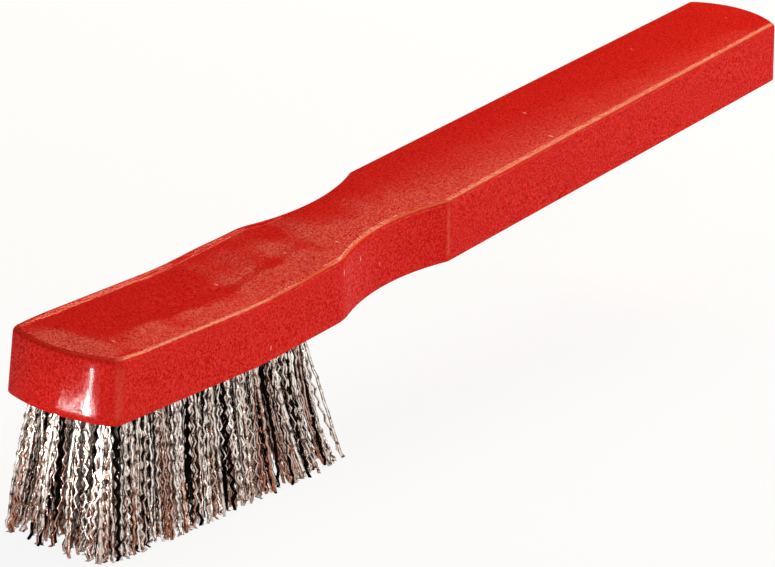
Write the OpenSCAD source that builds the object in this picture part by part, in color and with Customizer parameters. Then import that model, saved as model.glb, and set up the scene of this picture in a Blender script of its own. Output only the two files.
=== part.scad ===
// Hand wire brush: one moulded body whose handle rises a few degrees from the
// line of its head, and rows of crimped steel wire tufts. Each tuft is folded
// over a flat anchor, which is driven down across its blind hole.
// Frame: +X from the nose to the end of the handle, +Y to the far side, +Z up.
// The origin is under the middle of the brush, on the plane its bristles stand on.

/* [Body] */
// Length of the body, measured along its underside
body_l = 225; // [205:1:260]
// Thickness of the body
body_t = 12.4; // [11:0.1:16]
// Length of the head, from the nose to the start of the waist
head_l = 70; // [66:1:84]
// Width of the head
head_w = 24.2; // [22:0.1:30]
// Length of the waist between the head and the handle
waist_l = 34; // [26:1:44]
// How deep the waist's hollow cuts into each side
waist_depth = 3.1; // [1.5:0.1:4]
// Width of the handle next to the waist
handle_w = 23; // [20:0.1:28]
// Width of the handle at its end
end_w = 20.8; // [17:0.1:24]

/* [Rounding] */
// How far the middle of the nose stands out past its corners
nose_bulge = 2.9; // [1.5:0.1:5]
// How far the middle of the handle's end stands out past its corners
end_bulge = 3.4; // [1.5:0.1:5]
// Radius of the nose's upright corners
nose_corner_r = 2.6; // [1.4:0.1:4]
// Radius of the handle end's upright corners
end_corner_r = 1.6; // [1.4:0.1:3]
// Length over which the head's side eases into the waist
shoulder_l = 2.4; // [0.5:0.1:4]
// Radius of the round along the top edge
edge_r = 1.2; // [0.5:0.1:1.3]
// How much wider the body is at its underside, on each side
side_draft = 0.3; // [0:0.05:0.6]
// Rise of the top's middle above its edges
crown = 0.3; // [0:0.05:0.6]

/* [Bend] */
// Distance from the nose to the middle of the bend
bend_at = 45; // [35:1:55]
// Angle that the handle rises at
bend_deg = 4.5; // [2:0.5:8]
// Length of the bend's arc
bend_l = 10; // [5:1:18]

/* [Tuft holes] */
// Tufts along each row
tuft_cols = 13; // [9:1:13]
// Distance from the nose to the first column of tufts
nose_margin = 6; // [5:0.5:8]
// Distance from the last column of tufts to the waist
waist_margin = 8; // [6:0.5:12]
// Distance from the outer rows of tufts to the side of the head
side_margin = 4.4; // [3.2:0.1:5]
// Diameter of a tuft hole
hole_d = 3.2; // [2.8:0.1:3.4]
// Depth of a tuft hole
hole_depth = 8; // [6.5:0.1:9]

/* [Tufts] */
// Bristle height, from the underside of the head to the tips
trim_h = 26; // [18:1:34]
// Width of one bristle strand where it leaves the hole
root_d = 0.84; // [0.6:0.02:0.84]
// Width of one bristle strand in its free length
strand_d = 1; // [0.7:0.05:1.1]
// Least space between the strands of neighbouring tufts
tuft_gap = 0.6; // [0.3:0.05:1]
// How far the end columns lean outwards at their tips
lean_x = 4; // [0:0.2:6]
// How far the outer rows lean outwards at their tips
lean_y = 3.4; // [0:0.2:5]
// Sideways swing of the crimp
crimp = 0.35; // [0:0.05:0.5]
// How uneven the tips are
tip_scatter = 1.4; // [0.8:0.1:3]
// Depth to which the tips are trimmed flat on the standing plane
tip_cut = 0.5; // [0.2:0.1:0.7]

/* [Anchors] */
// Length of an anchor, across its hole and into the walls
anchor_l = 3.9; // [3.6:0.05:4]
// Height of an anchor
anchor_h = 1.8; // [1.2:0.1:2.4]
// Thickness of an anchor
anchor_t = 0.4; // [0.3:0.05:0.6]
// Thickness of the folded wire above an anchor
fold_h = 0.9; // [0.6:0.1:1.4]
// Clearance of the wire bundle in its hole
wire_clear = 0.1; // [0.05:0.01:0.15]
// Clearance round an anchor in its slit
anchor_clear = 0.03; // [0.02:0.01:0.05]

/* [Hidden] */
ROWS = ["near", "near_mid", "far_mid", "far"];
function two_digits(n) = n < 10 ? str("0", n) : str(n);
function tuft_name(row, col) = str("tuft_", ROWS[row], "_", two_digits(col + 1));
function anchors_name(row) = str("anchors_", ROWS[row]);

// Steps in the curved stretches of the outline and in the top edge's round
arc_steps = 4;
waist_steps = 8;
round_steps = 4;
// Depth of stock below the underside, which the flat underside is cut from
stock = 1;
// Distance over which the crown rises from each end of the body
crown_run = 9;
// Places of the lengthwise lines on the top, as shares of its half width
crown_lines = [1, 0.55, 0, -0.55, -1];
// Sides of a tuft hole and of the bundle of folded wires in it. Both lie hidden,
// so few flats will do: a hole's flats touch its diameter from outside.
hole_sides = 12;
bundle_sides = 8;

// ---- Where the body's own lengthwise line goes ------------------------------

// The line is level, turns up along one arc, then runs straight to the end.
bend_r = bend_l / (bend_deg * PI / 180);
bend_start = bend_at - bend_l / 2;
bend_end = bend_at + bend_l / 2;

// [x, z] of the point that lies s along the underside and h above it
function bent(s, h) =
    s <= bend_start ? [s, h]
    : let (a = min(bend_deg, (s - bend_start) / bend_r * 180 / PI))
      let (run = max(0, s - bend_end))
      [
          bend_start + (bend_r - h) * sin(a) + run * cos(a),
          bend_r - (bend_r - h) * cos(a) + run * sin(a)
      ];

// The middle of the body's box, which the origin lies under
middle_x = (bent(body_l + side_draft, 0)[0] - side_draft) / 2;

// [x, y, z] in the part's frame of a point given along, across and above the underside
function place(s, y, h) =
    let (p = bent(s, h))
    [p[0] - middle_x, y, trim_h + p[1]];

// ---- Outline of the body from above -----------------------------------------

// Half of a rounded end, from its middle to the side: an arc that bulges, then
// a corner arc that is tangent to it and to the side. x is measured inwards.
function half_end(w, bulge, r) =
    let (big = (pow(w / 2, 2) + pow(bulge, 2)) / (2 * bulge))
    let (cy = w / 2 - r)
    let (cx = big - sqrt(pow(big - r, 2) - pow(cy, 2)))
    let (turn = asin(cy / (big - r)))
    concat(
        [
            for (i = [0:arc_steps])
                let (a = turn * i / arc_steps)
                [big * (1 - cos(a)), big * sin(a)]
        ],
        [
            for (i = [1:arc_steps])
                let (a = turn + (90 - turn) * i / arc_steps)
                [cx - r * cos(a), cy + r * sin(a)]
        ]
    );

waist_end = head_l + waist_l;
waist_arc_r = (pow(waist_l / 2, 2) + pow(waist_depth, 2)) / (2 * waist_depth);

// Half width along the waist: its chord less the hollow of a circular arc
function waist_y(s) =
    let (t = (s - head_l) / waist_l)
    let (u = (t - 0.5) * waist_l)
    let (chord = head_w / 2 + (handle_w - head_w) / 2 * t)
    chord - (sqrt(pow(waist_arc_r, 2) - pow(u, 2)) - (waist_arc_r - waist_depth));

// A point of the quadratic curve from a to c that leaves and arrives along b
function eased(a, b, c, t) = a * pow(1 - t, 2) + b * 2 * t * (1 - t) + c * pow(t, 2);
shoulder = [
    [head_l - shoulder_l, head_w / 2],
    [head_l, head_w / 2],
    [head_l + shoulder_l, waist_y(head_l + shoulder_l)]
];
waist_start = head_l + shoulder_l;

half_outline = concat(
    half_end(head_w, nose_bulge, nose_corner_r),
    [for (i = [0:arc_steps]) [bend_start + bend_l * i / arc_steps, head_w / 2]],
    [for (t = [0:0.25:1]) eased(shoulder[0], shoulder[1], shoulder[2], t)],
    [
        for (i = [1:waist_steps])
            let (s = waist_start + (waist_end - waist_start) * i / waist_steps)
            [s, waist_y(s)]
    ],
    let (tip = half_end(end_w, end_bulge, end_corner_r))
    [for (i = [len(tip) - 1:-1:0]) [body_l - tip[i][0], tip[i][1]]]
);
last = len(half_outline) - 1;
outline = concat(
    half_outline,
    [for (i = [last - 1:-1:1]) [half_outline[i][0], -half_outline[i][1]]]
);
around = len(outline);

function unit(v) = v / norm(v);
function left_of(v) = [-v[1], v[0]];

// The outline moved inwards by d, with its corners kept sharp
function inset(d) = [
    for (i = [0:around - 1])
        let (before = unit(outline[i] - outline[(i + around - 1) % around]))
        let (after = unit(outline[(i + 1) % around] - outline[i]))
        let (out = left_of(before) + left_of(after))
        outline[i] - out * d / (1 + left_of(before) * left_of(after))
];

// ---- Moulded body -----------------------------------------------------------

side_h = body_t - edge_r;

// [height, inset] of each level, from the stock below up to the rim of the top
levels = concat(
    [[-stock, -side_draft * (1 + stock / side_h)], [side_h, 0]],
    [
        for (i = [1:round_steps])
            let (a = 90 * i / round_steps)
            [side_h + edge_r * sin(a), edge_r * (1 - cos(a))]
    ]
);
top = len(levels) - 1;
top_outline = inset(edge_r);

function crown_at(s, share) =
    let (from_end = min(s, body_l - s) - edge_r)
    crown * (1 - pow(share, 2)) * min(1, from_end / crown_run);

// Index of the point on the top's rim or crown at a station and lengthwise line
inner_lines = len(crown_lines) - 2;
function rim(level, i) = level * around + (i + around) % around;
function on_top(i, line) =
    line == 0 ? rim(top, i)
    : line == inner_lines + 1 ? rim(top, -i)
    : (top + 1) * around + (i - 1) * inner_lines + line - 1;

body_points = concat(
    [for (level = levels) each [for (p = inset(level[1])) place(p[0], p[1], level[0])]],
    [
        for (i = [1:last - 1], line = [1:inner_lines])
            let (p = top_outline[i], share = crown_lines[line])
            place(p[0], p[1] * share, body_t + crown_at(p[0], share))
    ]
);

body_faces = concat(
    // sides and the round along the top edge
    [
        for (level = [0:top - 1], i = [0:around - 1], half = [0, 1])
            half == 0
            ? [rim(level, i), rim(level, i + 1), rim(level + 1, i + 1)]
            : [rim(level, i), rim(level + 1, i + 1), rim(level + 1, i)]
    ],
    // crowned top, in strips between the lengthwise lines
    [
        for (i = [1:last - 2], line = [0:inner_lines], half = [0, 1])
            half == 0
            ? [on_top(i, line), on_top(i + 1, line), on_top(i + 1, line + 1)]
            : [on_top(i, line), on_top(i + 1, line + 1), on_top(i, line + 1)]
    ],
    [for (line = [0:inner_lines]) [rim(top, 0), on_top(1, line), on_top(1, line + 1)]],
    [for (line = [0:inner_lines]) [on_top(last - 1, line), rim(top, last), on_top(last - 1, line + 1)]],
    // bottom of the stock
    [
        for (i = [1:last - 2], half = [0, 1])
            half == 0
            ? [rim(0, i + 1), rim(0, i), rim(0, -i - 1)]
            : [rim(0, i), rim(0, -i), rim(0, -i - 1)]
    ],
    [[rim(0, 1), rim(0, 0), rim(0, -1)], [rim(0, last), rim(0, last - 1), rim(0, 1 - last)]]
);

// Everything below the flat underside: level, round the bend, then along the handle
module below_underside() {
    reach = 10;
    edge = concat(
        [bent(-reach, 0)],
        [for (i = [0:arc_steps]) bent(bend_start + bend_l * i / arc_steps, 0)],
        [bent(body_l + reach, 0)]
    );
    translate([-middle_x, 0, trim_h])
        rotate([90, 0, 0])
            linear_extrude(height = 2 * head_w, center = true)
                polygon(concat(edge, [[body_l + reach, -reach], [-reach, -reach]]));
}

// ---- Tuft pattern -----------------------------------------------------------

col_pitch = (head_l - nose_margin - waist_margin) / (tuft_cols - 1);
row_pitch = (head_w - 2 * side_margin) / 3;
bundle_r = hole_d / 2 - wire_clear;
anchor_z = hole_depth - fold_h - anchor_h / 2;

// Middle of a tuft's mouth on the underside. Rows 0 and 3 are the outer ones.
function mouth(row, col) = place(nose_margin + col * col_pitch, (row - 1.5) * row_pitch, 0);

// The body with its tuft holes, each with a slit down both sides of its wall
// that the ends of the anchor run in
module body() {
    color([0.84, 0.13, 0.12])
        difference() {
            polyhedron(points = body_points, faces = body_faces, convexity = 6);
            below_underside();
            for (row = [0:3], col = [0:tuft_cols - 1])
                translate(mouth(row, col) - [0, 0, stock]) {
                    cylinder(
                        d = hole_d / cos(180 / hole_sides),
                        h = hole_depth + stock,
                        $fn = hole_sides
                    );
                    anchor_plate(anchor_l + 2 * anchor_clear, hole_depth + stock, anchor_clear);
                }
        }
}

// A flat anchor standing on z = 0, or with room to spare the slit that it sits in
module anchor_plate(length, height, room = 0) {
    thickness = anchor_t + 2 * room;
    translate([-length / 2, -thickness / 2, 0])
        cube([length, thickness, height]);
}

module anchors(row) {
    color([0.72, 0.73, 0.75])
        for (col = [0:tuft_cols - 1])
            translate(mouth(row, col) + [0, 0, anchor_z - anchor_h / 2])
                anchor_plate(anchor_l, anchor_h);
}

// ---- Bristles ---------------------------------------------------------------

// Strands of one tuft stand in a ring. Their tips open into the space that the
// neighbouring tufts leave, and every strand swings the same way at one height.
strands = 6;
sides = 3;
root_ring = bundle_r * cos(180 / bundle_sides) - root_d / 2 - 0.05;
tip_ring = (min(col_pitch, row_pitch) - strand_d - tuft_gap) / 2;
tip_jitter = 0.12;
buried = 0.6;
// Heights of the rings between the mouth and the tip, as shares of the trim
swing_heights = [0.74, 0.48, 0.22];

function lean(share, most) = most * sign(share) * pow(abs(share), 1.4);

// [x, y] of a strand's middle at height z. Rows on the near side are mirrored.
function strand_at(col, out_row, k, root_z, z, noise) =
    let (t = max(0, (root_z - z) / trim_h))
    let (a = 30 + 360 / strands * k)
    let (ring = root_ring + (tip_ring - root_ring) * t)
    let (u = 2 * col / (tuft_cols - 1) - 1, v = out_row == 0 ? 1 : 1 / 3)
    let (level = search(true, [for (h = swing_heights) abs(z - h * trim_h) < 0.01])[0])
    let (swing = is_num(level) ? (level % 2 == 0 ? crimp : -crimp) : 0)
    [
        ring * cos(a) + lean(u, lean_x) * t + noise[0] * t + swing,
        ring * sin(a) + lean(v, lean_y) * t + noise[1] * t + swing / 2
    ];

// Rings of one strand, as [x, y, z, radius], from inside the bundle to the tip
function strand_rings(col, out_row, k, root_z) =
    let (seed = 1000 * out_row + 10 * col + k)
    let (noise = rands(-tip_jitter, tip_jitter, 2, seed))
    let (tip = max(0, rands(-tip_cut, tip_scatter - tip_cut, 1, seed + 500)[0]))
    [
        for (z = concat([root_z + buried], [for (h = swing_heights) h * trim_h], [tip]))
            let (p = strand_at(col, out_row, k, root_z, z, noise))
            [p[0], p[1], z - root_z, (z > root_z ? root_d : strand_d) / 2]
    ];

module strand(rings) {
    ends = len(rings) - 1;
    points = [
        for (ring = rings, i = [0:sides - 1])
            let (a = 360 / sides * i)
            [ring[0] + ring[3] * cos(a), ring[1] + ring[3] * sin(a), ring[2]]
    ];
    faces = concat(
        [[2, 1, 0], [for (i = [0:sides - 1]) ends * sides + i]],
        [
            for (level = [0:ends - 1], i = [0:sides - 1], half = [0, 1])
                let (a = level * sides + i, b = level * sides + (i + 1) % sides)
                half == 0 ? [a, b, b + sides] : [a, b + sides, a + sides]
        ]
    );
    polyhedron(points = points, faces = faces);
}

// The bundle in the hole, folded over its anchor, and the strands that leave it
module far_side_tuft(col, out_row) {
    root_z = mouth(0, col)[2];
    difference() {
        rotate(180 / bundle_sides)
            cylinder(r = bundle_r, h = hole_depth - wire_clear, $fn = bundle_sides);
        translate([0, 0, anchor_z - anchor_h / 2 - anchor_clear])
            anchor_plate(hole_d, anchor_h + 2 * anchor_clear, anchor_clear);
    }
    for (k = [0:strands - 1])
        strand(strand_rings(col, out_row, k, root_z));
}

module tuft(row, col) {
    color([0.62, 0.6, 0.58])
        translate(mouth(row, col))
            if (row < 2)
                mirror([0, 1, 0])
                    far_side_tuft(col, row);
            else
                far_side_tuft(col, 3 - row);
}

body();
for (row = [0:3])
    anchors(row);
for (row = [0:3], col = [0:tuft_cols - 1])
    tuft(row, col);
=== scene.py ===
# %% [markdown]
# # A hand wire brush
# The brush is one red plastic moulding with a head, a waisted neck and a handle,
# and fifty-two tufts of crimped steel wire. The measured solids give every place
# and size here. This lesson dresses them: it makes a smooth skin for the moulding,
# a bundle of thin wires for each tuft, and the finishes that they carry.

# %% Load the measured solids
import math

import bmesh
import bpy
import numpy as np
from mathutils import Matrix, Vector


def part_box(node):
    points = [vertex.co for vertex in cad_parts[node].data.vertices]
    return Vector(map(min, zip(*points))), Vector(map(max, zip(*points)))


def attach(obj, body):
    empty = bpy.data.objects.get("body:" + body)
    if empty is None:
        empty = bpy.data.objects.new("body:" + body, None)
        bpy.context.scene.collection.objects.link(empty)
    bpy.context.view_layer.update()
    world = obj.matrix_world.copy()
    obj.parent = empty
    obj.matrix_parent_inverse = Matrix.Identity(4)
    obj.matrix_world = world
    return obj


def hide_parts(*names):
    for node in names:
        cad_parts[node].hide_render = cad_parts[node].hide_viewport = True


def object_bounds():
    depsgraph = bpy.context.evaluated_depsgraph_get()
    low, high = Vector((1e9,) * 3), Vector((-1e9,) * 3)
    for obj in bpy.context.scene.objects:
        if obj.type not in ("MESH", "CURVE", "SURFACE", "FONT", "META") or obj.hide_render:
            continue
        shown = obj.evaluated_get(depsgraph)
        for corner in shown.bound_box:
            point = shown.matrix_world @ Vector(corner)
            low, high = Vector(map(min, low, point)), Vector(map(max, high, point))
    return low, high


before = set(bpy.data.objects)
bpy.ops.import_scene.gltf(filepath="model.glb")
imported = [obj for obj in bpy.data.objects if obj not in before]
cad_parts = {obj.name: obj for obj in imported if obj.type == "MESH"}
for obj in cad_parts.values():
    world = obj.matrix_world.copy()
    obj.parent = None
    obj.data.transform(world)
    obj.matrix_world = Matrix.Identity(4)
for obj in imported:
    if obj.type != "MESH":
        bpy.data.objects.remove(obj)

MM = 0.001
cad_low, cad_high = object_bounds()
ROWS = ("near", "near_mid", "far_mid", "far")
print("solids:", len(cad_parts), "box in mm:", [round(v / MM, 2) for v in cad_high - cad_low])

# %% [markdown]
# ## Camera
# The brush is seen from in front of its nose, from its near side and from above,
# with a long lens, so that it hardly narrows towards its far end. A camera could
# be placed by hand. An aim point, two angles, a roll and a distance say the same in
# numbers that can be read and changed one at a time.

# %% Camera
AIM = Vector((-7.15, 2.3, 22.26)) * MM
AZIMUTH, ELEVATION, ROLL = math.radians(-56.35), math.radians(19.905), math.radians(4.29)
CAMERA_DISTANCE = 1.0175
SENSOR_WIDTH, LENS = 36, 250.8


def place_camera():
    """A camera at AIM + distance * back, where back points from the aim to the lens.
    Its right and up are square to back, turned about it by ROLL."""
    back = Vector((
        math.sin(AZIMUTH) * math.cos(ELEVATION),
        -math.cos(AZIMUTH) * math.cos(ELEVATION),
        math.sin(ELEVATION),
    ))
    level_right = Vector((0, 0, 1)).cross(back).normalized()
    level_up = back.cross(level_right)
    right = level_right * math.cos(ROLL) + level_up * math.sin(ROLL)
    up = back.cross(right)
    camera = bpy.data.objects.new("camera", bpy.data.cameras.new("camera"))
    bpy.context.scene.collection.objects.link(camera)
    camera.data.sensor_width = SENSOR_WIDTH
    camera.data.lens = LENS
    camera.matrix_world = Matrix.Translation(AIM + CAMERA_DISTANCE * back) @ Matrix(
        (right, up, back)
    ).transposed().to_4x4()
    bpy.context.scene.camera = camera
    return camera


camera = place_camera()
print("camera at", [round(v, 3) for v in camera.matrix_world.translation])

# %% [markdown]
# ## Floor, world and lamps
# A tool is shown best on a plain white floor in soft light. Red gloss plastic gets
# its looks from what it mirrors: a dim world keeps its top deep red, a warm window
# fills the parts that tip towards the near side, and a strip draws the thin bright
# line along the rounded edge. Five very small lamps close to the nose make its streak
# and the glow round it. Four of them show only in the gloss, because their light on
# the red itself would wash it out. The floor's white comes from its own colour and
# from a share of plain white that only camera, mirror and glass rays see, so that no
# more light falls on the brush.

# %% Material helpers
def new_material(name):
    """An empty node material and its Principled shader, joined to the output."""
    material = bpy.data.materials.new(name)
    material.use_nodes = True
    return material, material.node_tree, material.node_tree.nodes["Principled BSDF"]


def add(tree, kind, **settings):
    """A new node of a kind, with its properties set."""
    node = tree.nodes.new("ShaderNode" + kind)
    for key, value in settings.items():
        setattr(node, key, value)
    return node


def feed(tree, target, name, source):
    """Joins source, an output socket, to an input of target, or sets a plain value there."""
    if isinstance(source, bpy.types.NodeSocket):
        tree.links.new(source, target.inputs[name])
    else:
        target.inputs[name].default_value = source


def math_node(tree, operation, *values, clamp=False):
    """The output of a Math node worked on sockets or numbers."""
    node = add(tree, "Math", operation=operation, use_clamp=clamp)
    for place, value in enumerate(values):
        feed(tree, node, place, value)
    return node.outputs[0]


# %% Floor
FLOOR_RADIUS, FLOOR_POINTS = 8, 96
FLOOR_WHITE = 0.92
SHADOW_SHARE = 0.12


def make_floor():
    """A disc at z = 0, a fan of points on a circle. Its shader is diffuse white with
    a share of plain white for rays that come from the camera, a mirror or glass."""
    turn = np.linspace(0, 2 * np.pi, FLOOR_POINTS + 1)[:-1]
    rim = np.stack([np.cos(turn), np.sin(turn), np.zeros_like(turn)], 1) * FLOOR_RADIUS
    mesh = bpy.data.meshes.new("floor")
    mesh.from_pydata(rim.tolist(), [], [list(range(len(rim)))])
    floor = bpy.data.objects.new("floor", mesh)
    bpy.context.scene.collection.objects.link(floor)
    material, tree, shader = new_material("studio floor")
    shader.inputs["Base Color"].default_value = (FLOOR_WHITE, FLOOR_WHITE, FLOOR_WHITE, 1)
    shader.inputs["Roughness"].default_value = 1
    shader.inputs["Specular IOR Level"].default_value = 0
    rays = add(tree, "LightPath")
    seen = math_node(tree, "MAXIMUM", rays.outputs["Is Camera Ray"], rays.outputs["Is Glossy Ray"])
    seen = math_node(tree, "MAXIMUM", seen, rays.outputs["Is Transmission Ray"])
    white = add(tree, "Emission")
    white.inputs["Strength"].default_value = 1
    mix = add(tree, "MixShader")
    feed(tree, mix, 0, math_node(tree, "MULTIPLY", seen, 1 - SHADOW_SHARE))
    tree.links.new(shader.outputs[0], mix.inputs[1])
    tree.links.new(white.outputs[0], mix.inputs[2])
    tree.links.new(mix.outputs[0], tree.nodes["Material Output"].inputs["Surface"])
    mesh.materials.append(material)


make_floor()

# %% World
WORLD_LIGHT = 0.1
world = bpy.data.worlds.new("studio")
world.use_nodes = True
world.node_tree.nodes["Background"].inputs["Color"].default_value = (1, 1, 1, 1)
world.node_tree.nodes["Background"].inputs["Strength"].default_value = WORLD_LIGHT
bpy.context.scene.world = world
bpy.context.scene.view_settings.view_transform = "Standard"


# %% Lamps
def soft_box(name, turn, height, distance, size, watts, colour=(1, 1, 1), target=AIM):
    """An area lamp that faces target from a compass turn and a height angle in degrees.
    Turn 0 is +X and 90 is +Y. size is (across, along), in metres."""
    around, above = math.radians(turn), math.radians(height)
    level = math.cos(above)
    away = Vector((math.cos(around) * level, math.sin(around) * level, math.sin(above)))
    light = bpy.data.lights.new(name, "AREA")
    light.shape = "RECTANGLE"
    light.size, light.size_y = size
    light.energy = watts
    light.color = colour
    lamp = bpy.data.objects.new(name, light)
    bpy.context.scene.collection.objects.link(lamp)
    lamp.matrix_world = Matrix.Translation(target + away * distance) @ away.to_track_quat(
        "Z", "Y"
    ).to_matrix().to_4x4()
    lamp.visible_camera = False
    return lamp


NOSE = Vector((cad_low.x, -6 * MM, 30.8 * MM))
NOSE_LAMP_DISTANCE, NOSE_LAMP_SPREAD = 0.06, math.radians(60)
WARM = (1, 0.86, 0.55)
soft_box("key", 228, 40, 1.1, (0.42, 0.42), 1.9)
soft_box("low front", 232, 13, 1.2, (1.0, 0.26), 2.8)
soft_box("low side", 300, 9, 1.2, (1.2, 0.26), 4.2)
soft_box("overhead", 110, 78, 1.4, (1.2, 1.2), 2.7)
soft_box("window", 20, 42, 0.8, (0.75, 0.31), 2.2, WARM)
soft_box("window sill", 20, 29.5, 0.8, (0.75, 0.055), 0.11, WARM)
soft_box("edge strip", 1, 41, 1.0, (0.77, 0.22), 5.8, WARM)
for name, turn, height, size, watts, lights_red in (
    ("nose streak, lower part", 175.5, -21.5, (0.0021, 0.007), 0.0022, False),
    ("nose streak, upper part", 177.5, -14.3, (0.0016, 0.0058), 0.0008, False),
    ("nose glow, middle", 174, -21.5, (0.0105, 0.0052), 0.0018, False),
    ("nose glow, round it", 173, -21.8, (0.0225, 0.0045), 0.002, False),
    ("nose glow, far side", 156, -22, (0.0195, 0.0045), 0.0018, True),
):
    small = soft_box(name, turn, height, NOSE_LAMP_DISTANCE, size, watts, target=NOSE)
    small.data.spread = NOSE_LAMP_SPREAD
    small.visible_diffuse = lights_red

# %% [markdown]
# ## From a grid of numbers to a mesh
# The pieces here are surfaces worked out with numpy. A grid of points with rows and
# columns becomes a mesh with one square between each four neighbours. Working on
# whole arrays is fast, and keeps each shape's formula in one readable place.

# %% Mesh helpers
def grid_faces(rows, columns, wrap):
    """Corner numbers of the squares of a rows x columns grid. With wrap, the last
    column joins the first."""
    r = np.arange(rows - 1)[:, None]
    c = np.arange(columns if wrap else columns - 1)[None, :]
    right = (c + 1) % columns
    corners = [r * columns + c, r * columns + right, (r + 1) * columns + right, (r + 1) * columns + c]
    return np.stack(np.broadcast_arrays(*corners), -1).reshape(-1, 4)


def mesh_object(name, points, squares, triangles=None):
    """A smooth-shaded object whose mesh has these points, in millimetres, and faces."""
    loops = squares.reshape(-1)
    starts = np.arange(len(squares)) * 4
    if triangles is not None:
        starts = np.concatenate([starts, len(loops) + np.arange(len(triangles)) * 3])
        loops = np.concatenate([loops, triangles.reshape(-1)])
    mesh = bpy.data.meshes.new(name)
    mesh.vertices.add(len(points))
    mesh.vertices.foreach_set("co", (points * MM).astype(np.float32).ravel())
    mesh.loops.add(len(loops))
    mesh.loops.foreach_set("vertex_index", loops.astype(np.int32))
    mesh.polygons.add(len(starts))
    mesh.polygons.foreach_set("loop_start", starts.astype(np.int32))
    mesh.update(calc_edges=True)
    mesh.validate()
    mesh.shade_smooth()
    piece = bpy.data.objects.new(name, mesh)
    bpy.context.scene.collection.objects.link(piece)
    return piece


# %% [markdown]
# ## The moulding's outline
# Seen from above, the moulding is a nose with a shallow arc and tight corners, a
# straight head, a hollow waist, and a handle that narrows to a rounded end. Its
# line is level along the front of the head and then rises a few degrees. The
# outline is a list of (s, y): s runs along the underside from the nose, and y is
# half the width there. Arcs need points close together, and straight parts don't.

# %% Sizes of the moulding, in millimetres
BODY_LENGTH, BODY_THICKNESS = 225, 12.4
HEAD_LENGTH, HEAD_WIDTH = 70, 24.2
WAIST_LENGTH, WAIST_DEPTH = 34, 3.1
HANDLE_WIDTH, END_WIDTH = 23, 20.8
NOSE_BULGE, NOSE_CORNER = 2.9, 2.6
END_BULGE, END_CORNER = 3.4, 1.6
SHOULDER = 2.4
TOP_ROUND, BOTTOM_ROUND = 1.2, 0.35
SIDE_DRAFT = 0.3
BEND_AT, BEND_ANGLE, BEND_LENGTH = 45, math.radians(4.5), 10
BEND_START, BEND_END = BEND_AT - BEND_LENGTH / 2, BEND_AT + BEND_LENGTH / 2
BEND_RADIUS = BEND_LENGTH / BEND_ANGLE
TRIM_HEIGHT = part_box("body")[0].z / MM
HEAD_END = HEAD_LENGTH
WAIST_END = HEAD_LENGTH + WAIST_LENGTH


# %% Along, across and above
def bent(s, h):
    """(x, z) of the point s along the underside and h above it. Before the bend it is
    (s, h). In the bend it turns about a centre BEND_RADIUS above the underside, and
    after it runs on straight at the bend's angle."""
    angle = np.clip((s - BEND_START) / BEND_RADIUS, 0, BEND_ANGLE)
    run = np.maximum(0, s - BEND_END)
    x = BEND_START + (BEND_RADIUS - h) * np.sin(angle) + run * np.cos(angle)
    z = BEND_RADIUS - (BEND_RADIUS - h) * np.cos(angle) + run * np.sin(angle)
    flat = s <= BEND_START
    return np.where(flat, s, x), np.where(flat, h, z)


MIDDLE_X = (bent(np.array(BODY_LENGTH + SIDE_DRAFT), 0)[0] - SIDE_DRAFT) / 2


def placed(s, y, h):
    """Points in the brush's own frame, origin under its middle at the bristle tips."""
    x, z = bent(s, h)
    return np.stack(np.broadcast_arrays(x - MIDDLE_X, y, TRIM_HEIGHT + z), -1)


# %% Outline
ARC_POINTS, CORNER_POINTS = 22, 14
HEAD_POINTS, SHOULDER_POINTS, NECK_POINTS, HANDLE_POINTS = 62, 11, 36, 60
CREASE_STEPS = np.array([0.25, 0.5])


def rounded_end(width, bulge, corner):
    """Half an end as (inward, y): an arc of radius R = ((w/2)^2 + bulge^2) / (2 bulge)
    from the middle, then a corner arc that touches it and the side."""
    big = ((width / 2) ** 2 + bulge**2) / (2 * bulge)
    centre_y = width / 2 - corner
    centre_x = big - math.sqrt((big - corner) ** 2 - centre_y**2)
    turn = math.asin(centre_y / (big - corner))
    a = np.linspace(0, turn, ARC_POINTS)
    b = np.linspace(turn, math.pi / 2, CORNER_POINTS)[1:]
    inward = np.concatenate([big * (1 - np.cos(a)), centre_x - corner * np.cos(b)])
    y = np.concatenate([big * np.sin(a), centre_y + corner * np.sin(b)])
    return inward, y


def waist_y(s):
    """Half width along the waist: the straight chord less the hollow of an arc that is
    WAIST_DEPTH deep at its middle."""
    radius = ((WAIST_LENGTH / 2) ** 2 + WAIST_DEPTH**2) / (2 * WAIST_DEPTH)
    t = (s - HEAD_END) / WAIST_LENGTH
    chord = HEAD_WIDTH / 2 + (HANDLE_WIDTH - HEAD_WIDTH) / 2 * t
    u = (t - 0.5) * WAIST_LENGTH
    return chord - (np.sqrt(radius**2 - u**2) - (radius - WAIST_DEPTH))


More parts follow.
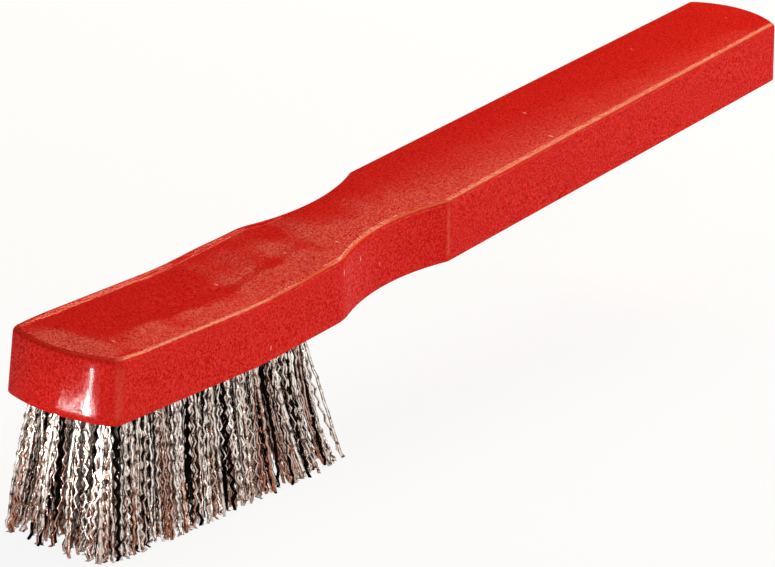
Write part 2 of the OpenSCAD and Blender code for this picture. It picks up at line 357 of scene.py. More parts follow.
def half_outline():
    """(s, y) from the nose's middle to the middle of the handle's end. The shoulder
    is a curve y = (1 - t^2) head / 2 + t^2 waist, so it leaves the head smoothly. Two
    points stand close on each side of the crease between waist and handle."""
    nose_s, nose_y = rounded_end(HEAD_WIDTH, NOSE_BULGE, NOSE_CORNER)
    end_in, end_y = rounded_end(END_WIDTH, END_BULGE, END_CORNER)
    head_s = np.linspace(nose_s[-1], HEAD_END - SHOULDER, HEAD_POINTS)[1:-1]
    t = np.linspace(0, 1, SHOULDER_POINTS)
    ease_s = (HEAD_END - SHOULDER) + 2 * SHOULDER * t
    ease_y = (1 - t) * (1 + t) * HEAD_WIDTH / 2 + t**2 * waist_y(HEAD_END + SHOULDER)
    neck_s = np.linspace(HEAD_END + SHOULDER, WAIST_END, NECK_POINTS)[1:-1]
    crease_s = [WAIST_END - CREASE_STEPS[::-1], [WAIST_END], WAIST_END + CREASE_STEPS]
    neck_s = np.concatenate([neck_s, *crease_s])
    handle_s = np.linspace(WAIST_END, BODY_LENGTH - end_in[-1], HANDLE_POINTS)[1:-1]
    taper = (handle_s - WAIST_END) / (BODY_LENGTH - end_in[-1] - WAIST_END)
    handle_y = (HANDLE_WIDTH + (END_WIDTH - HANDLE_WIDTH) * taper) / 2
    neck_y = np.where(neck_s <= WAIST_END, waist_y(np.minimum(neck_s, WAIST_END)), HANDLE_WIDTH / 2)
    s = [nose_s, head_s, ease_s, neck_s, handle_s, (BODY_LENGTH - end_in)[::-1]]
    y = [nose_y, np.full_like(head_s, HEAD_WIDTH / 2), ease_y, neck_y, handle_y, end_y[::-1]]
    return np.stack([np.concatenate(s), np.concatenate(y)], 1)


HALF = half_outline()


def inset(distance):
    """The half outline moved inwards. Each point moves along the sum of its two edges'
    outward normals, scaled so that both edges move by the same distance."""
    loop = np.concatenate([HALF, (HALF * [1, -1])[-2:0:-1]])
    edges = np.roll(loop, -1, 0) - loop
    edges /= np.linalg.norm(edges, axis=1, keepdims=True)
    after = np.stack([-edges[:, 1], edges[:, 0]], 1)
    before = np.roll(after, 1, 0)
    scale = 1 + (before * after).sum(1, keepdims=True)
    return (loop - (before + after) * distance / scale)[: len(HALF)]


print("outline points:", len(HALF), "widest:", HALF[:, 1].max() * 2)

# %% [markdown]
# ## The moulding's skin
# The solid is right in size but its round edges are a few flats, which show in a
# gloss finish. A bevel would round them, but the moulding has more: a slightly
# crowned top, a shallow dish over the head where thick plastic has shrunk while it
# cooled, and a lip along the head's far edge. So the skin is a grid: each row is a
# closed section through the moulding at one outline point, from the underside up a
# side, over the top and down the other side. The rows at both ends close to a line.

# %% Height of the top
CROWN, CROWN_RUN = 0.4, 9
DISH_DEPTH, DISH_MIDDLE = 0.3, (42, 3)
DISH_HALF_LONG, DISH_HALF_WIDE = 37, 8.6
DISH_POWER, DISH_FLAT, DISH_RIM = 2.3, 0.7, 1.08
HEAD_FALL, HANDLE_FALL, BAND_START = 0.42, 0.05, 4
LIP_HEIGHT, LIP_WIDTH = 0.28, 0.8
NOSE_FALL, NOSE_FALL_START = 0.36, 7.5
FALL_POWER = 1.5
HEAD_FADES = (2, 12), (56, 66)
BODY_FADES = (1, 7), (200, 218)
WAVES = 7
wave_source = np.random.default_rng(4)
wave_turn = wave_source.uniform(0, np.pi, WAVES)
wave_length = wave_source.uniform(7, 16, WAVES)
wave_phase = wave_source.uniform(0, 2 * np.pi, WAVES)
WAVE_HEIGHT = 0.024
WAVE_CALM, WAVE_CALM_FADE = 0.8, (75, 105)
FAR_RIM_SHARE, NEAR_RIM_SHARE, RIM_FADE = 0.07, 0.3, (0, 3)


def smooth_step(low, high, value):
    """0 below low, 1 above high, and 3t^2 - 2t^3 between."""
    t = np.clip((value - low) / (high - low), 0, 1)
    return t * t * (3 - 2 * t)


def between(fades, value):
    """1 between two fades and 0 outside them. Each fade is (start, end)."""
    (in_low, in_high), (out_low, out_high) = fades
    return smooth_step(in_low, in_high, value) * (1 - smooth_step(out_low, out_high, value))


def top_height(s, y, share):
    """Thickness plus a crown, CROWN (1 - share^2), that fades at both ends, less a
    dish over the head that is open towards the far edge, plus faint waves of cooling.
    A low lip stands at the head's far edge. The top falls away a little to the near
    edge and to the nose. Dish and waves fade out before the rim."""
    from_end = np.minimum(s, BODY_LENGTH - s) - TOP_ROUND
    crown = CROWN * (1 - share**2) * np.clip(from_end / CROWN_RUN, 0, 1)
    along = np.abs((s - DISH_MIDDLE[0]) / DISH_HALF_LONG)
    across = np.maximum(DISH_MIDDLE[1] - y, 0) / DISH_HALF_WIDE
    oval = (along**DISH_POWER + across**DISH_POWER) ** (1 / DISH_POWER)
    dish = DISH_DEPTH * (1 - smooth_step(DISH_FLAT, DISH_RIM, oval))
    on_head, on_body = between(HEAD_FADES, s), between(BODY_FADES, s)
    far_gap = np.maximum(HEAD_WIDTH / 2 - TOP_ROUND - y, 0)
    lip = LIP_HEIGHT * np.clip(1 - far_gap / LIP_WIDTH, 0, 1) ** FALL_POWER * on_head
    band = (-y - BAND_START) / (HEAD_WIDTH / 2 - TOP_ROUND - BAND_START)
    band = np.clip(band, 0, 1) ** FALL_POWER
    fall = (HANDLE_FALL + (HEAD_FALL - HANDLE_FALL) * on_head) * band * on_body
    fall += NOSE_FALL * np.clip(1 - s / NOSE_FALL_START, 0, 1) ** FALL_POWER
    waves = np.zeros_like(s)
    for turn, length, phase in zip(wave_turn, wave_length, wave_phase):
        waves += np.sin((s * np.cos(turn) + y * np.sin(turn)) * 2 * np.pi / length + phase)
    waves *= WAVE_HEIGHT * (1 - WAVE_CALM * smooth_step(*WAVE_CALM_FADE, s))
    rim = np.where(y > 0, FAR_RIM_SHARE, NEAR_RIM_SHARE)
    inside = smooth_step(0, 1, (1 - np.abs(share)) / rim) * smooth_step(*RIM_FADE, from_end)
    return BODY_THICKNESS + crown + lip - fall + (waves - dish) * inside


# %% Section grid
BOTTOM_COLUMNS, BOTTOM_ROUND_COLUMNS = 6, 5
SIDE_COLUMNS, ROUND_COLUMNS, TOP_COLUMNS = 7, 9, 24
SIDE_START = BOTTOM_COLUMNS + BOTTOM_ROUND_COLUMNS
ROUND_START = SIDE_START + SIDE_COLUMNS
NOSE_CORNER_ROW = 29


def half_section(side):
    """Rows of points from the middle of the underside, round one side, to the middle
    of the top. side is 1 for +Y and -1 for -Y."""
    side_height = BODY_THICKNESS - TOP_ROUND
    levels = []
    bottom = inset(BOTTOM_ROUND - SIDE_DRAFT)
    for share in np.linspace(0, 1, BOTTOM_COLUMNS + 1)[:-1]:
        levels.append(placed(bottom[:, 0], side * bottom[:, 1] * share, np.zeros(len(HALF))))
    for a in np.radians(np.linspace(0, 90, BOTTOM_ROUND_COLUMNS)):
        ring = inset(BOTTOM_ROUND * (1 - np.sin(a)) - SIDE_DRAFT)
        height = np.full(len(HALF), BOTTOM_ROUND * (1 - np.cos(a)))
        levels.append(placed(ring[:, 0], side * ring[:, 1], height))
    for share in np.linspace(0, 1, SIDE_COLUMNS + 2)[1:-1]:
        ring = inset(-SIDE_DRAFT * (1 - share))
        height = np.full(len(HALF), BOTTOM_ROUND + (side_height - BOTTOM_ROUND) * share)
        levels.append(placed(ring[:, 0], side * ring[:, 1], height))
    rim = inset(TOP_ROUND)
    rise = top_height(rim[:, 0], side * rim[:, 1], 1) - side_height
    for a in np.radians(np.linspace(0, 90, ROUND_COLUMNS)):
        ring = inset(TOP_ROUND * (1 - np.cos(a)))
        levels.append(placed(ring[:, 0], side * ring[:, 1], side_height + rise * np.sin(a)))
    for share in np.cos(np.linspace(0, np.pi / 2, TOP_COLUMNS + 1))[1:]:
        y = side * rim[:, 1] * share
        levels.append(placed(rim[:, 0], y, top_height(rim[:, 0], y, share)))
    return np.stack(levels, 1)


# Paler edges, partly wear and mostly a painted highlight: the waist's crease, the nose's corners and
# the top's round edge.
CREASE_HIGHLIGHT, CREASE_REACH = 0.4, 0.3
CORNER_HIGHLIGHT, CORNER_REACH = 0.25, 3
EDGE_COLUMN, EDGE_REACH = ROUND_START + 4.7, 1.1
NOSE_EDGE_HIGHLIGHT, NOSE_EDGE_FADE = 0.15, 6


def edge_wear_and_highlight(columns):
    """How pale each point is painted, partly as wear and mostly as a painted highlight:
    faint, narrow bell curves over the crease where the waist meets the handle and
    over the nose's corners, and a full one over the middle of the top's round edge,
    where it draws the bright line, which is faint across the nose."""
    crease = np.exp(-(((HALF[:, 0] - WAIST_END) / CREASE_REACH) ** 2))[:, None]
    column = np.arange(columns)[None, :]
    on_side = (column >= SIDE_START) & (column < ROUND_START)
    row = np.arange(len(HALF))[:, None]
    corner = np.exp(-((row - NOSE_CORNER_ROW) / CORNER_REACH) ** 2)
    edge = np.exp(-(((column - EDGE_COLUMN) / EDGE_REACH) ** 2))
    past_nose = smooth_step(NOSE_CORNER_ROW - NOSE_EDGE_FADE, NOSE_CORNER_ROW, row)
    edge = edge * (NOSE_EDGE_HIGHLIGHT + (1 - NOSE_EDGE_HIGHLIGHT) * past_nose)
    return np.clip((CREASE_HIGHLIGHT * crease + CORNER_HIGHLIGHT * corner) * on_side + edge, 0, 1)


def make_skin():
    """The closed skin: the +Y half section out and the -Y half section back."""
    out, back = half_section(1), half_section(-1)
    grid = np.concatenate([out, back[:, -2:0:-1]], 1)
    rows, columns = grid.shape[:2]
    skin = mesh_object("body_skin", grid.reshape(-1, 3), grid_faces(rows, columns, True))
    # The paler edge paint, partly wear and mostly a painted highlight, is kept at each point.
    wear_and_highlight = edge_wear_and_highlight(out.shape[1])
    wear_and_highlight = np.concatenate([wear_and_highlight, wear_and_highlight[:, -2:0:-1]], 1)
    layer = skin.data.attributes.new("edge_wear_and_highlight", "FLOAT", "POINT")
    layer.data.foreach_set("value", wear_and_highlight.astype(np.float32).ravel())
    mesh = bmesh.new()
    mesh.from_mesh(skin.data)
    bmesh.ops.remove_doubles(mesh, verts=mesh.verts, dist=1e-6)
    bmesh.ops.recalc_face_normals(mesh, faces=mesh.faces)
    print("skin volume in cm3:", round(mesh.calc_volume(signed=True) * 1e6, 2))
    mesh.to_mesh(skin.data)
    mesh.free()
    skin.data.shade_smooth()
    return skin


skin = make_skin()
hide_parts("body")
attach(skin, "root")

# %% [markdown]
# ## Tuft holes
# A wire brush is made by drilling blind holes, folding each bundle of wires over a
# short flat anchor, and driving both in together. The anchors are among the measured
# solids, so their own corners tell where the holes are. Holes could be drawn as dark
# spots. Cutting them with a Boolean gives true walls, which show from underneath.

# %% Where the holes are
ANCHOR_TO_MOUTH = 6.2
CORNER_JUMP = 0.1


def mouths(row):
    """The middle of each hole's mouth along a row, from the anchors' own corners. In
    order of x the corners jump once across each anchor and once on to the next one, so
    every second jump starts a new anchor."""
    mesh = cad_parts["anchors_" + row].data
    corners = np.zeros(len(mesh.vertices) * 3)
    mesh.vertices.foreach_get("co", corners)
    corners = corners.reshape(-1, 3) / MM
    corners = corners[np.argsort(corners[:, 0])]
    jumps = np.flatnonzero(np.diff(corners[:, 0]) > CORNER_JUMP)
    groups = np.split(corners, jumps[1::2] + 1)
    centres = np.array([(g.min(0) + g.max(0)) / 2 for g in groups])
    return centres - [0, 0, ANCHOR_TO_MOUTH]


MOUTHS = {row: mouths(row) for row in ROWS}
print("tufts a row:", [len(m) for m in MOUTHS.values()], "first mouth:", MOUTHS["near"][0].round(2))

# %% Drill the skin
HOLE_RADIUS, HOLE_DEPTH, HOLE_SIDES = 1.6, 8, 16
BIT_BELOW = 1
SHARP_ANGLE = math.radians(50)


def drill(piece):
    """Takes an upright prism with HOLE_SIDES sides out of the piece at every mouth."""
    middles = np.concatenate([MOUTHS[row] for row in ROWS])[:, None]
    turn = np.arange(HOLE_SIDES) * 2 * np.pi / HOLE_SIDES
    ring = np.stack([np.cos(turn), np.sin(turn), np.zeros(HOLE_SIDES)], 1) * HOLE_RADIUS
    low, high = middles + ring - [0, 0, BIT_BELOW], middles + ring + [0, 0, HOLE_DEPTH]
    points = np.concatenate([low, high], 1)
    k = np.arange(HOLE_SIDES)
    after = (k + 1) % HOLE_SIDES
    walls = np.stack([k, after, after + HOLE_SIDES, k + HOLE_SIDES], 1)
    caps = np.stack([k[::-1], k + HOLE_SIDES])
    first = np.arange(len(middles))[:, None, None] * 2 * HOLE_SIDES
    faces = (walls + first).reshape(-1, 4).tolist() + (caps + first).reshape(-1, HOLE_SIDES).tolist()
    mesh = bpy.data.meshes.new("drill bits")
    mesh.from_pydata((points.reshape(-1, 3) * MM).tolist(), [], faces)
    bits = bpy.data.objects.new("drill bits", mesh)
    bpy.context.scene.collection.objects.link(bits)
    cut = piece.modifiers.new("tuft holes", "BOOLEAN")
    cut.operation, cut.solver, cut.object = "DIFFERENCE", "EXACT", bits
    done = piece.evaluated_get(bpy.context.evaluated_depsgraph_get())
    drilled = bpy.data.meshes.new_from_object(done)
    piece.modifiers.clear()
    piece.data = drilled
    bpy.data.objects.remove(bits)
    drilled.set_sharp_from_angle(angle=SHARP_ANGLE)
    print("holes:", len(middles), "faces of the skin:", len(drilled.polygons))


drill(skin)

# %% [markdown]
# ## Wire tufts
# Each hole holds a bundle of wire that was crimped into a zigzag before it was cut,
# which keeps the wires apart and springy. A hair system could scatter them, but here
# each wire is a three-sided tube with a ring at every crest and trough of its crimp:
# few faces, and smooth shading turns the crests into small bright beads, which the
# finish brightens further with a painted highlight. Twenty-one slightly thick wires
# fill a tuft as well as twice as many thin ones would.

# %% Sizes of the wires, in millimetres
WIRES, CLUMPS = 21, 6
WIRE_RADIUS = 0.37
CLUMP_PULL = 0.9
BUNDLE_RADIUS = 1.25
TIP_SPREAD = 2.8
NOSE_LEAN, WAIST_LEAN, SIDE_LEAN = 2.8, 8.2, 3.5
RINGS = 22
CRIMP = 0.29
START_DEPTH, ANCHOR_DEPTH = 0.9, 5.3
BOX_ALLOWANCE = 0.3
SIDE_ROOM = cad_high.y / MM + BOX_ALLOWANCE - WIRE_RADIUS
NOSE_GAP, FIELD_REAR, FIELD_HALF_WIDTH = 0.3, -33, 13.3
FIELD_LOW = np.array([cad_low.x / MM + NOSE_GAP, -FIELD_HALF_WIDTH])
FIELD_HIGH = np.array([FIELD_REAR, FIELD_HALF_WIDTH])
FIELD_POWER, OUTSIDE_FADE = 5, (0.42, 0.7)
LEAN_POWER, LEAN_CURVE = 1.4, 1.5
CRIMP_ONSET, GATHER_TURN = 12, 0.8

# %% [markdown]
# No two wires are alike. Each amount below is the spread of a normal or exponential
# draw, or the ends of an even one, and each tuft draws from its own seed. A few wires
# in each tuft are wild ones that stray further than the rest.

# %% How wires differ, in millimetres or as shares
STRAY, TUFT_SHIFT = 0.35, 0.5
WILD_STRAY, WILD_SHARE = 2.6, 0.15
WAIST_STRAY, WAIST_STRAY_POWER = 1.5, 6
SPREAD_RANGE, PULL_RANGE, CRIMP_RANGE = (0.85, 1.1), (0.5, 1.2), (0.5, 1.4)
RADIUS_RANGE = (0.85, 1.12)
TIP_NORMAL, TIP_LONG = 0.3, 0.2
STEP_SHIFT, STEP_JITTER, STEP_LIMITS = 0.9, 0.15, (-0.3, 0.95)
BOW, KINK = 0.5, 0.07
TUBE_SEEDS = 5000


# %% Where wires end
def sunflower(count, turn):
    """Evenly spread points of the unit disc: the k-th is sqrt((k + 0.5) / count) from
    the middle, and the golden angle further round than the one before."""
    k = np.arange(count)
    radius = np.sqrt((k + 0.5) / count)
    angle = k * math.pi * (3 - math.sqrt(5)) + turn
    return np.stack([radius * np.cos(angle), radius * np.sin(angle)], 1)


def tips_of(mouth, disc, u, v, random):
    """Tip positions (x, y) of a tuft's wires: a wide disc, moved by the tuft's lean,
    which grows as |u|^p and |v|^p towards the outer tufts, p being LEAN_POWER, by a
    small shift of the whole tuft, and by each wire's own stray, which is wider next to
    the waist. Tips outside a rounded field, |dx/a|^q + |dy/b|^q = 1 with q being
    FIELD_POWER, are drawn back onto it. Also gives how much each wire is on the
    outside of the field, from 0 to 1."""
    lean_x = (WAIST_LEAN if u > 0 else -NOSE_LEAN) * abs(u) ** LEAN_POWER
    lean = np.array([lean_x, SIDE_LEAN * np.sign(v) * abs(v) ** LEAN_POWER])
    stray = random.normal(0, STRAY, disc.shape)
    stray *= random.choice([1, WILD_STRAY], (len(disc), 1), p=[1 - WILD_SHARE, WILD_SHARE])
    stray *= 1 + WAIST_STRAY * max(u, 0) ** WAIST_STRAY_POWER
    spread = TIP_SPREAD * random.uniform(*SPREAD_RANGE)
    tips = mouth[:2] + disc * spread + lean + stray + random.normal(0, TUFT_SHIFT, 2)
    middle, half = (FIELD_LOW + FIELD_HIGH) / 2, (FIELD_HIGH - FIELD_LOW) / 2
    out = (np.abs((tips - middle) / half) ** FIELD_POWER).sum(1, keepdims=True)
    out = out ** (1 / FIELD_POWER)
    return middle + (tips - middle) / np.maximum(out, 1), smooth_step(*OUTSIDE_FADE, out[:, 0])


# %% One tuft
def tuft_wires(mouth, u, v, seed):
    """Rings of every wire in a tuft, as an array wires x rings x 3, with the wire's
    free run from 0 to 1, its crests, and how far out it stands. A wire starts at a
    point of a sunflower pattern in the hole. On its way it is pulled towards the
    middle of its clump, because crimped wires lock together. Its rings step aside
    in turn by the crimp, and a slow bow makes each wire differ."""
    random = np.random.default_rng(seed)
    turn = random.uniform(0, 2 * np.pi)
    disc, clumps = sunflower(WIRES, turn), sunflower(CLUMPS, turn + 1)
    nearest = ((disc[:, None] - clumps[None]) ** 2).sum(-1).argmin(1)
    to_clump = (clumps[nearest] - disc) * CLUMP_PULL * random.uniform(*PULL_RANGE, (WIRES, 1))
    root = mouth[:2] + disc * BUNDLE_RADIUS
    tip, outer = tips_of(mouth, disc, u, v, random)
    straight = root + disc * (TIP_SPREAD - BUNDLE_RADIUS)
    tip_z = np.abs(random.normal(0, TIP_NORMAL, WIRES)) + random.exponential(TIP_LONG, WIRES)
    start_z = mouth[2] + START_DEPTH
    step = np.arange(RINGS)[None, :]
    inner = (step > 1) & (step < RINGS - 1)
    shift = random.uniform(0, STEP_SHIFT, (WIRES, 1)) + random.normal(0, STEP_JITTER, (WIRES, RINGS))
    t = (step - 1 + np.clip(shift, *STEP_LIMITS) * inner) / (RINGS - 2)
    z = start_z + (tip_z[:, None] - start_z) * t
    z[:, 0] = mouth[2] + ANCHOR_DEPTH
    free = np.clip((mouth[2] - z) / (mouth[2] - tip_z[:, None]), 0, 1)[:, :, None]
    bow = random.normal(0, BOW, (WIRES, 1, 2)) * np.sin(np.pi * free)
    swing_angle = random.uniform(0, 2 * np.pi, WIRES)
    swing = np.stack([np.cos(swing_angle), np.sin(swing_angle)], 1)[:, None, :]
    amount = CRIMP * random.uniform(*CRIMP_RANGE, WIRES)[:, None, None]
    zigzag = np.where(step % 2 == 0, 1, -1)[:, :, None] * amount * swing
    zigzag = zigzag + random.normal(0, KINK, (WIRES, RINGS, 2))
    zigzag = zigzag * np.clip(free * CRIMP_ONSET, 0, 1)
    spread, lean = (straight - root)[:, None], (tip - straight)[:, None]
    gather = to_clump[:, None] * TIP_SPREAD * np.sin(np.pi * GATHER_TURN * free)
    xy = root[:, None] + spread * free + lean * free**LEAN_CURVE + gather + bow + zigzag
    xy[:, :, 1] = np.clip(xy[:, :, 1], -SIDE_ROOM, SIDE_ROOM)
    crest = np.broadcast_to(step % 2, z.shape)
    outer = np.broadcast_to(outer[:, None], z.shape)
    return np.concatenate([xy, z[:, :, None]], 2), free[:, :, 0], crest, outer


def make_tuft(name, mouth, u, v, seed):
    """A piece with all the wires of one tuft. A ring has three corners at 120 degrees,
    and both ends of a wire are closed by a triangle."""
    centres, free, crest, outer = tuft_wires(mouth, u, v, seed)
    random = np.random.default_rng(seed + TUBE_SEEDS)
    turn = random.uniform(0, 2 * np.pi, (WIRES, 1, 1)) + np.arange(3) * 2 * np.pi / 3
    radius = WIRE_RADIUS * random.uniform(*RADIUS_RANGE, (WIRES, 1, 1))
    offset = np.stack([np.cos(turn) * radius, np.sin(turn) * radius, np.zeros_like(turn)], -1)
    points = (centres[:, :, None, :] + offset).reshape(-1, 3)
    per_wire = RINGS * 3
    tube = grid_faces(RINGS, 3, True)[:, ::-1]
    first = np.arange(WIRES)[:, None, None] * per_wire
    squares = (tube[None] + first).reshape(-1, 4)
    caps = np.array([[0, 1, 2], [per_wire - 1, per_wire - 2, per_wire - 3]])
    triangles = (caps[None] + first).reshape(-1, 3)
    tuft = mesh_object(name, points, squares, triangles)
    for label, values in (
        ("wire_tint", np.broadcast_to(random.uniform(0, 1, (WIRES, 1)), (WIRES, per_wire))),
        ("wire_run", np.repeat(free, 3, axis=1)),
        ("wire_crest", np.repeat(crest, 3, axis=1)),
        ("wire_outer", np.repeat(outer, 3, axis=1)),
    ):
        layer = tuft.data.attributes.new(label, "FLOAT", "POINT")
        layer.data.foreach_set("value", np.ascontiguousarray(values, np.float32).ravel())
    return tuft


# %% All tufts
tufts = []
for r, row in enumerate(ROWS):
    v = (r - 1.5) / 1.5
    for c, mouth in enumerate(MOUTHS[row]):
        u = 2 * c / (len(MOUTHS[row]) - 1) - 1
        tuft = make_tuft(f"wires_{row}_{c + 1:02d}", mouth, u, v, seed=100 * r + c)
        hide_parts(f"tuft_{row}_{c + 1:02d}")
        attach(tuft, "root")
        tufts.append(tuft)
print("tufts:", len(tufts), "triangles a tuft:", WIRES * ((RINGS - 1) * 6 + 2))

# %% [markdown]
# ## Finishes
# Moulded gloss plastic is never quite even: its surface has a fine orange peel, its
# pigment is speckled, and handling leaves small pale nicks. Its edges are painted
# paler, partly as wear and mostly as a painted highlight. One number for gloss would
# mirror the lamps like a lacquer. Here the gloss is a coat that the speckle breaks up,
# as on a surface with fine pores. Crimped wire gets a painted highlight at the crests
# of its crimp over a grain of bright and dark steel, is brown where it has begun to
# rust, mostly towards its tips, and is painted black as painted shade deep in the
# brush and along a share of its wires. The anchors are plain rolled steel. All three
# finishes use one shader group that turns noise into a soft grain.

# %% Shader group: grain
def grain_group():
    """Grain from two noises, one coarse and one fine. Mask is 0 to 1 with its middle
    at one half, and Height is for a Bump node."""
    group = bpy.data.node_groups.new("soft grain", "ShaderNodeTree")
    for name, kind, direction in (
        ("Position", "NodeSocketVector", "INPUT"),
        ("Coarse", "NodeSocketFloat", "INPUT"),
        ("Fine", "NodeSocketFloat", "INPUT"),
        ("Contrast", "NodeSocketFloat", "INPUT"),
        ("Mask", "NodeSocketFloat", "OUTPUT"),
        ("Height", "NodeSocketFloat", "OUTPUT"),
    ):
        group.interface.new_socket(name=name, in_out=direction, socket_type=kind)
    start = group.nodes.new("NodeGroupInput")
    end = group.nodes.new("NodeGroupOutput")
    coarse = add(group, "TexNoise")
    fine = add(group, "TexNoise")
    for noise, scale, detail in ((coarse, "Coarse", 2), (fine, "Fine", 3)):
        feed(group, noise, "Vector", start.outputs["Position"])
        feed(group, noise, "Scale", start.outputs[scale])
        feed(group, noise, "Detail", detail)
    both = math_node(group, "ADD", coarse.outputs["Fac"], fine.outputs["Fac"])
    centred = math_node(group, "SUBTRACT", both, 1)
    spread = math_node(group, "MULTIPLY", centred, start.outputs["Contrast"])
    feed(group, end, "Mask", math_node(group, "ADD", spread, 0.5, clamp=True))
    feed(group, end, "Height", both)
    return group


GRAIN = grain_group()
BUMP_DISTANCE = 0.0001


def grain(tree, position, coarse, fine, contrast):
    """The grain group placed in a material with its own sizes, in cells a metre."""
    node = add(tree, "Group", node_tree=GRAIN)
    feed(tree, node, "Position", position)
    feed(tree, node, "Coarse", coarse)
    feed(tree, node, "Fine", fine)
    feed(tree, node, "Contrast", contrast)
    return node


# A Mix node has one set of sockets for each kind of data. These are the colour ones.
MIX_FACTOR, MIX_FIRST, MIX_SECOND, MIX_RESULT = 0, 6, 7, 2


def mix_colour(tree, factor, first, second):
    """A colour between first and second. Both may be sockets or plain colours."""
    node = add(tree, "Mix", data_type="RGBA")
    feed(tree, node, MIX_FACTOR, factor)
    feed(tree, node, MIX_FIRST, first)
    feed(tree, node, MIX_SECOND, second)
    return node.outputs[MIX_RESULT]


def attribute(tree, name):
    """The output of a number kept at each point of the mesh."""
    return add(tree, "Attribute", attribute_name=name).outputs["Fac"]


def bump(tree, shader, height, strength):
    """Small dents in the shader's surface, from a grain's height."""
    node = add(tree, "Bump")
    feed(tree, node, "Height", height)
    feed(tree, node, "Strength", strength)
    feed(tree, node, "Distance", BUMP_DISTANCE)
    feed(tree, shader, "Normal", node.outputs[0])


# %% Red plastic
DEEP_RED, BRIGHT_RED = (0.48, 0.003, 0.006, 1), (0.76, 0.021, 0.009, 1)
# The second colour is the paler red painted on the edges, partly as wear and mostly as a painted
# highlight.
PALE_NICK, WORN_HIGHLIGHT_RED = (0.92, 0.42, 0.33, 1), (0.86, 0.27, 0.12, 1)
NICKS_A_METRE, NICK_CUT = 250, 0.4
NICK_FALL, NICK_CORE = -18, 1.3
NICK_TURN, NICK_STRETCH = (0.3, 0.5, 0.2), (1, 0.5, 0.4)
NICK_SHARE, WEAR_HIGHLIGHT_SHARE, CLOUD_SHARE = 0.8, 0.5, 0.25
PEEL_STRENGTH = 0.12


def red_plastic():
    """Speckled red with sparse pale nicks and a fine orange peel, under a clear gloss
    whose weight follows the same speckle. Its edges are painted paler, partly as wear
    and mostly as a painted highlight."""
    material, tree, shader = new_material("red moulded plastic")
    position = add(tree, "TexCoord").outputs["Object"]
    speckle = grain(tree, position, 2400, 5200, 3.0)
    cloud = grain(tree, position, 45, 160, 1.2)
    colour = mix_colour(tree, speckle.outputs["Mask"], DEEP_RED, BRIGHT_RED)
    cloudy = math_node(tree, "MULTIPLY", cloud.outputs["Mask"], CLOUD_SHARE)
    colour = mix_colour(tree, cloudy, colour, BRIGHT_RED)
    slant = add(tree, "Mapping")
    feed(tree, slant, "Vector", position)
    feed(tree, slant, "Rotation", NICK_TURN)
    feed(tree, slant, "Scale", NICK_STRETCH)
    cells = add(tree, "TexVoronoi")
    feed(tree, cells, "Vector", slant.outputs[0])
    feed(tree, cells, "Scale", NICKS_A_METRE)
    near = math_node(tree, "MULTIPLY_ADD", cells.outputs["Distance"], NICK_FALL, NICK_CORE, clamp=True)
    chance = add(tree, "SeparateColor")
    feed(tree, chance, 0, cells.outputs["Color"])
    chosen = math_node(tree, "GREATER_THAN", chance.outputs[0], NICK_CUT)
    nick = math_node(tree, "MULTIPLY", near, chosen)
    nick = math_node(tree, "MULTIPLY", nick, NICK_SHARE)
    colour = mix_colour(tree, nick, colour, PALE_NICK)
    # Edges painted paler: partly wear, mostly a painted highlight.
    wear_and_highlight = math_node(tree, "MULTIPLY", attribute(tree, "edge_wear_and_highlight"), WEAR_HIGHLIGHT_SHARE)
    feed(tree, shader, "Base Color", mix_colour(tree, wear_and_highlight, colour, WORN_HIGHLIGHT_RED))
    bump(tree, shader, speckle.outputs["Height"], PEEL_STRENGTH)
    dull = math_node(tree, "MULTIPLY_ADD", speckle.outputs["Mask"], -0.2, 0.5)
    feed(tree, shader, "Roughness", dull)
    feed(tree, shader, "Specular IOR Level", 0)
    gloss = math_node(tree, "MULTIPLY_ADD", speckle.outputs["Mask"], 0.3, 0.01)
    feed(tree, shader, "Coat Weight", gloss)
    feed(tree, shader, "Coat Roughness", 0.11)
    return material


skin.data.materials.append(red_plastic())


# %% Bright wire and anchors
# The first two colours are the dark steel between the crests and the bright steel of the painted
# highlight at the crests, mixed with grain.
DARK_STEEL_BETWEEN_GLINTS, BRIGHT_GLINT_STEEL = (0.03, 0.014, 0.008, 1), (1.0, 0.93, 0.86, 1)
# The second colour here is the near black of the painted shade deep in the brush.
RUST, SHADE_BLACK = (0.36, 0.1, 0.035, 1), (0.006, 0.004, 0.003, 1)
RUST_POWER, RUST_RISE, RUST_ROOT = 1.4, 0.75, 0.3
UNSHADED_TIP_POWER = 6
SHADED_WIRE_FALL, SHADED_WIRE_START = -20, 2.7
SHADE_POWER = 0.4
PIT_STRENGTH = 0.5
DARK_ROLLED, LIGHT_ROLLED = (0.42, 0.43, 0.45, 1), (0.66, 0.67, 0.69, 1)


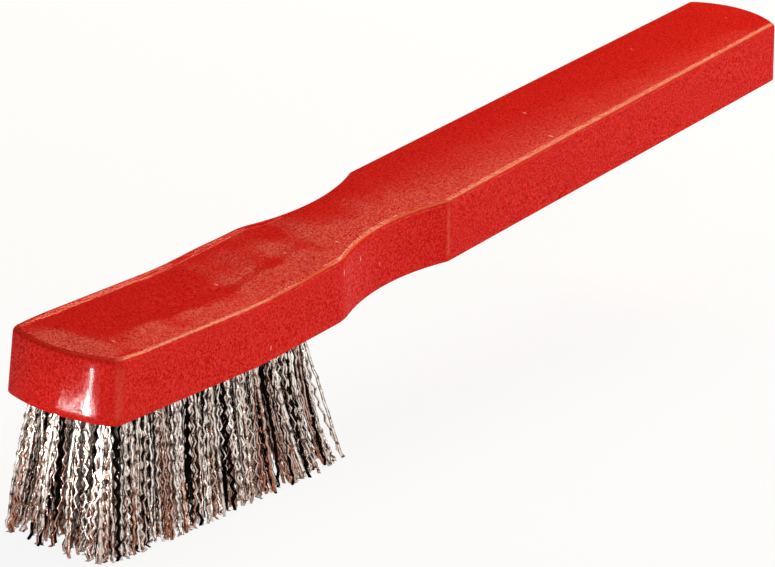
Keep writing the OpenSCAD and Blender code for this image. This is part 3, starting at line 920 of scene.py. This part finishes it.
def crimped_wire():
    """Steel with a painted highlight at the crests of its crimp, over a grain of bright
    and dark spots, and painted dark in between. It browns with each wire's own tint
    and its run towards the tip. Deep in the brush, apart from the tips that stand
    out of it, and all along the wires with the lowest tints, it is painted near black
    as painted shade. The painted shade isn't metal and has no shine."""
    material, tree, shader = new_material("crimped steel wire")
    position = add(tree, "TexCoord").outputs["Object"]
    tint, run = attribute(tree, "wire_tint"), attribute(tree, "wire_run")
    crest, outer = attribute(tree, "wire_crest"), attribute(tree, "wire_outer")
    spots = grain(tree, position, 560, 1700, 7.0)
    # Painted highlight at each crest of the crimp, added to a grain of bright and dark spots.
    glint_and_grain = math_node(tree, "ADD", crest, spots.outputs["Mask"], clamp=True)
    colour = mix_colour(tree, glint_and_grain, DARK_STEEL_BETWEEN_GLINTS, BRIGHT_GLINT_STEEL)
    along = math_node(tree, "MULTIPLY_ADD", run, RUST_RISE, RUST_ROOT)
    brown = math_node(tree, "MULTIPLY", math_node(tree, "POWER", tint, RUST_POWER), along)
    colour = mix_colour(tree, brown, colour, RUST)
    # Painted shade, near black and not metal, deep in the brush and along the wires with the lowest
    # tints; the tips are left out.
    unshaded = math_node(tree, "MAXIMUM", outer, math_node(tree, "POWER", run, UNSHADED_TIP_POWER))
    shaded_wires = math_node(tree, "MULTIPLY_ADD", tint, SHADED_WIRE_FALL, SHADED_WIRE_START, clamp=True)
    shaded = math_node(tree, "MAXIMUM", math_node(tree, "SUBTRACT", 1, unshaded), shaded_wires)
    shade_cover = math_node(tree, "POWER", shaded, SHADE_POWER)
    feed(tree, shader, "Base Color", mix_colour(tree, shade_cover, colour, SHADE_BLACK))
    feed(tree, shader, "Metallic", math_node(tree, "SUBTRACT", 1, shaded))
    feed(tree, shader, "Specular IOR Level", 0)
    feed(tree, shader, "Roughness", math_node(tree, "MULTIPLY_ADD", glint_and_grain, -0.16, 0.3))
    bump(tree, shader, spots.outputs["Height"], PIT_STRENGTH)
    return material


def rolled_steel():
    """Flat rolled wire: a dull bright grey with fine scratches along the roll."""
    material, tree, shader = new_material("rolled anchor steel")
    coordinates = add(tree, "TexCoord").outputs["Object"]
    stretch = add(tree, "Mapping")
    feed(tree, stretch, "Vector", coordinates)
    feed(tree, stretch, "Scale", (0.1, 1, 1))
    lines = grain(tree, stretch.outputs[0], 1200, 6000, 1.5)
    colour = mix_colour(tree, lines.outputs["Mask"], DARK_ROLLED, LIGHT_ROLLED)
    feed(tree, shader, "Base Color", colour)
    feed(tree, shader, "Metallic", 1.0)
    dull = math_node(tree, "MULTIPLY_ADD", lines.outputs["Mask"], 0.2, 0.3)
    feed(tree, shader, "Roughness", dull)
    return material


wire_material = crimped_wire()
for tuft in tufts:
    tuft.data.materials.append(wire_material)
anchor_material = rolled_steel()
for row in ROWS:
    for material_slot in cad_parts["anchors_" + row].material_slots:
        material_slot.material = anchor_material
